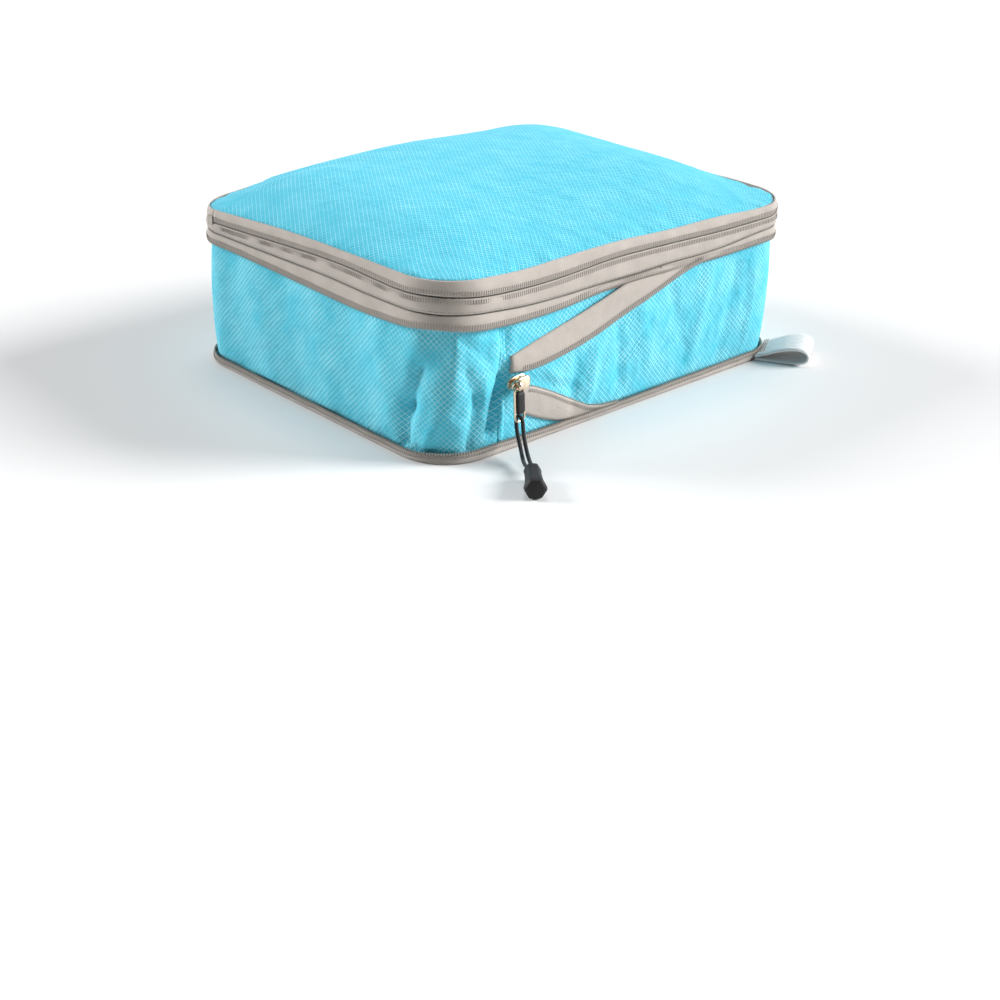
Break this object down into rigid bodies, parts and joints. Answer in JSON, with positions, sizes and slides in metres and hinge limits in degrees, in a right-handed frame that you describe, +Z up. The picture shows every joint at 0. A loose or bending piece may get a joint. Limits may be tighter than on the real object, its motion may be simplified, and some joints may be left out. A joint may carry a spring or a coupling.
{
  "type": "packing cube",
  "caption": "Soft rectangular compression packing cube: zip-round crowned lid, gusset with a second zip that squeezes it flat, webbing loop and corded pull.",
  "frame": {"origin": "on the floor, under the middle of the rectangular outline (base_face mount)", "axes": "+X along the long side, with the compression slider on the -Y wall; +Z up, away from the floor"},
  "size_m": [0.2744, 0.2579, 0.1082],
  "materials": {
    "ripstop": "satin",
    "zip_tape": "matte",
    "zip_coil": "matte",
    "zip_stop": "matte",
    "binding": "matte",
    "webbing": "matte",
    "thread": "matte",
    "slider_metal": "polished",
    "pull_plastic": "matte",
    "pull_cord": "matte"
  },
  "bodies": {
    "base": {"base_panel": "ripstop", "base_seam_binding": "binding", "rim_zip_tape": "zip_tape", "rim_zip_coil": "zip_coil", "gusset_strip": "ripstop", "gusset_seam": "ripstop", "start_tape_upper": "zip_tape", "start_coil_upper": "zip_coil", "start_tape_lower": "zip_tape", "start_coil_lower": "zip_coil", "grab_loop": "webbing", "grab_loop_bartack": "thread"},
    "band": {"band_comp_coil": "zip_coil", "band_comp_tape": "zip_tape", "band_main_tape": "zip_tape", "main_zip_coil_lower": "zip_coil", "band_binding": "binding", "comp_zip_end_stop": "zip_stop", "main_zip_stop_left": "zip_stop", "main_zip_stop_right": "zip_stop"},
    "lid": {"lid_panel": "ripstop", "lid_zip_tape": "zip_tape", "main_zip_coil_upper": "zip_coil", "lid_hinge_strip": "zip_tape", "lid_binding": "binding"},
    "main_slider": {"main_slider_body": "slider_metal", "main_slider_bridge": "slider_metal"},
    "main_bail": {"main_slider_bail": "slider_metal"},
    "comp_slider": {"comp_slider_body": "slider_metal", "comp_slider_bridge": "slider_metal"},
    "comp_bail": {"comp_pull_bail": "slider_metal", "comp_pull_keeper": "pull_plastic"},
    "comp_pull": {"comp_pull_cord": "pull_cord", "comp_pull_end": "pull_plastic"}
  },
  "joints": [
    {"name": "compress", "type": "slide", "parent": "base", "child": "band", "axis": [0, 0, -1], "range_m": [0, 0.06], "deforming": ["gusset_strip", "gusset_seam", "start_tape_upper", "start_coil_upper", "start_tape_lower", "start_coil_lower"]},
    {"name": "lid_open", "type": "hinge", "parent": "band", "child": "lid", "pos_m": [0, 0.1032, 0.0838], "axis": [-1, 0, 0], "range_deg": [0, 180]},
    {"name": "main_slider_run", "type": "slide", "parent": "band", "child": "main_slider", "axis": [0, -1, 0], "range_m": [0, 0.134]},
    {"name": "main_bail_swing", "type": "hinge", "parent": "main_slider", "child": "main_bail", "pos_m": [0.1334, 0.0628, 0.0838], "axis": [0, -1, 0], "range_deg": [0, 150]},
    {"name": "comp_slider_run", "type": "slide", "parent": "base", "child": "comp_slider", "axis": [0.9556, 0, -0.2948], "range_m": [0, 0.09565]},
    {"name": "comp_bail_swing", "type": "hinge", "parent": "comp_slider", "child": "comp_bail", "pos_m": [-0.0866, -0.109, 0.0354], "axis": [-1, 0, 0], "range_deg": [0, 67]},
    {"name": "comp_pull_swing", "type": "hinge", "parent": "comp_bail", "child": "comp_pull", "pos_m": [-0.0866, -0.11053, 0.01797], "axis": [-1, 0, 0], "range_deg": [0, 65]}
  ],
  "couplings": [
    {"joint": "comp_slider_run", "follows": "compress", "ratio": 1.5942},
    {"joint": "comp_bail_swing", "follows": "compress", "rad_per_m": 19.489}
  ]
}
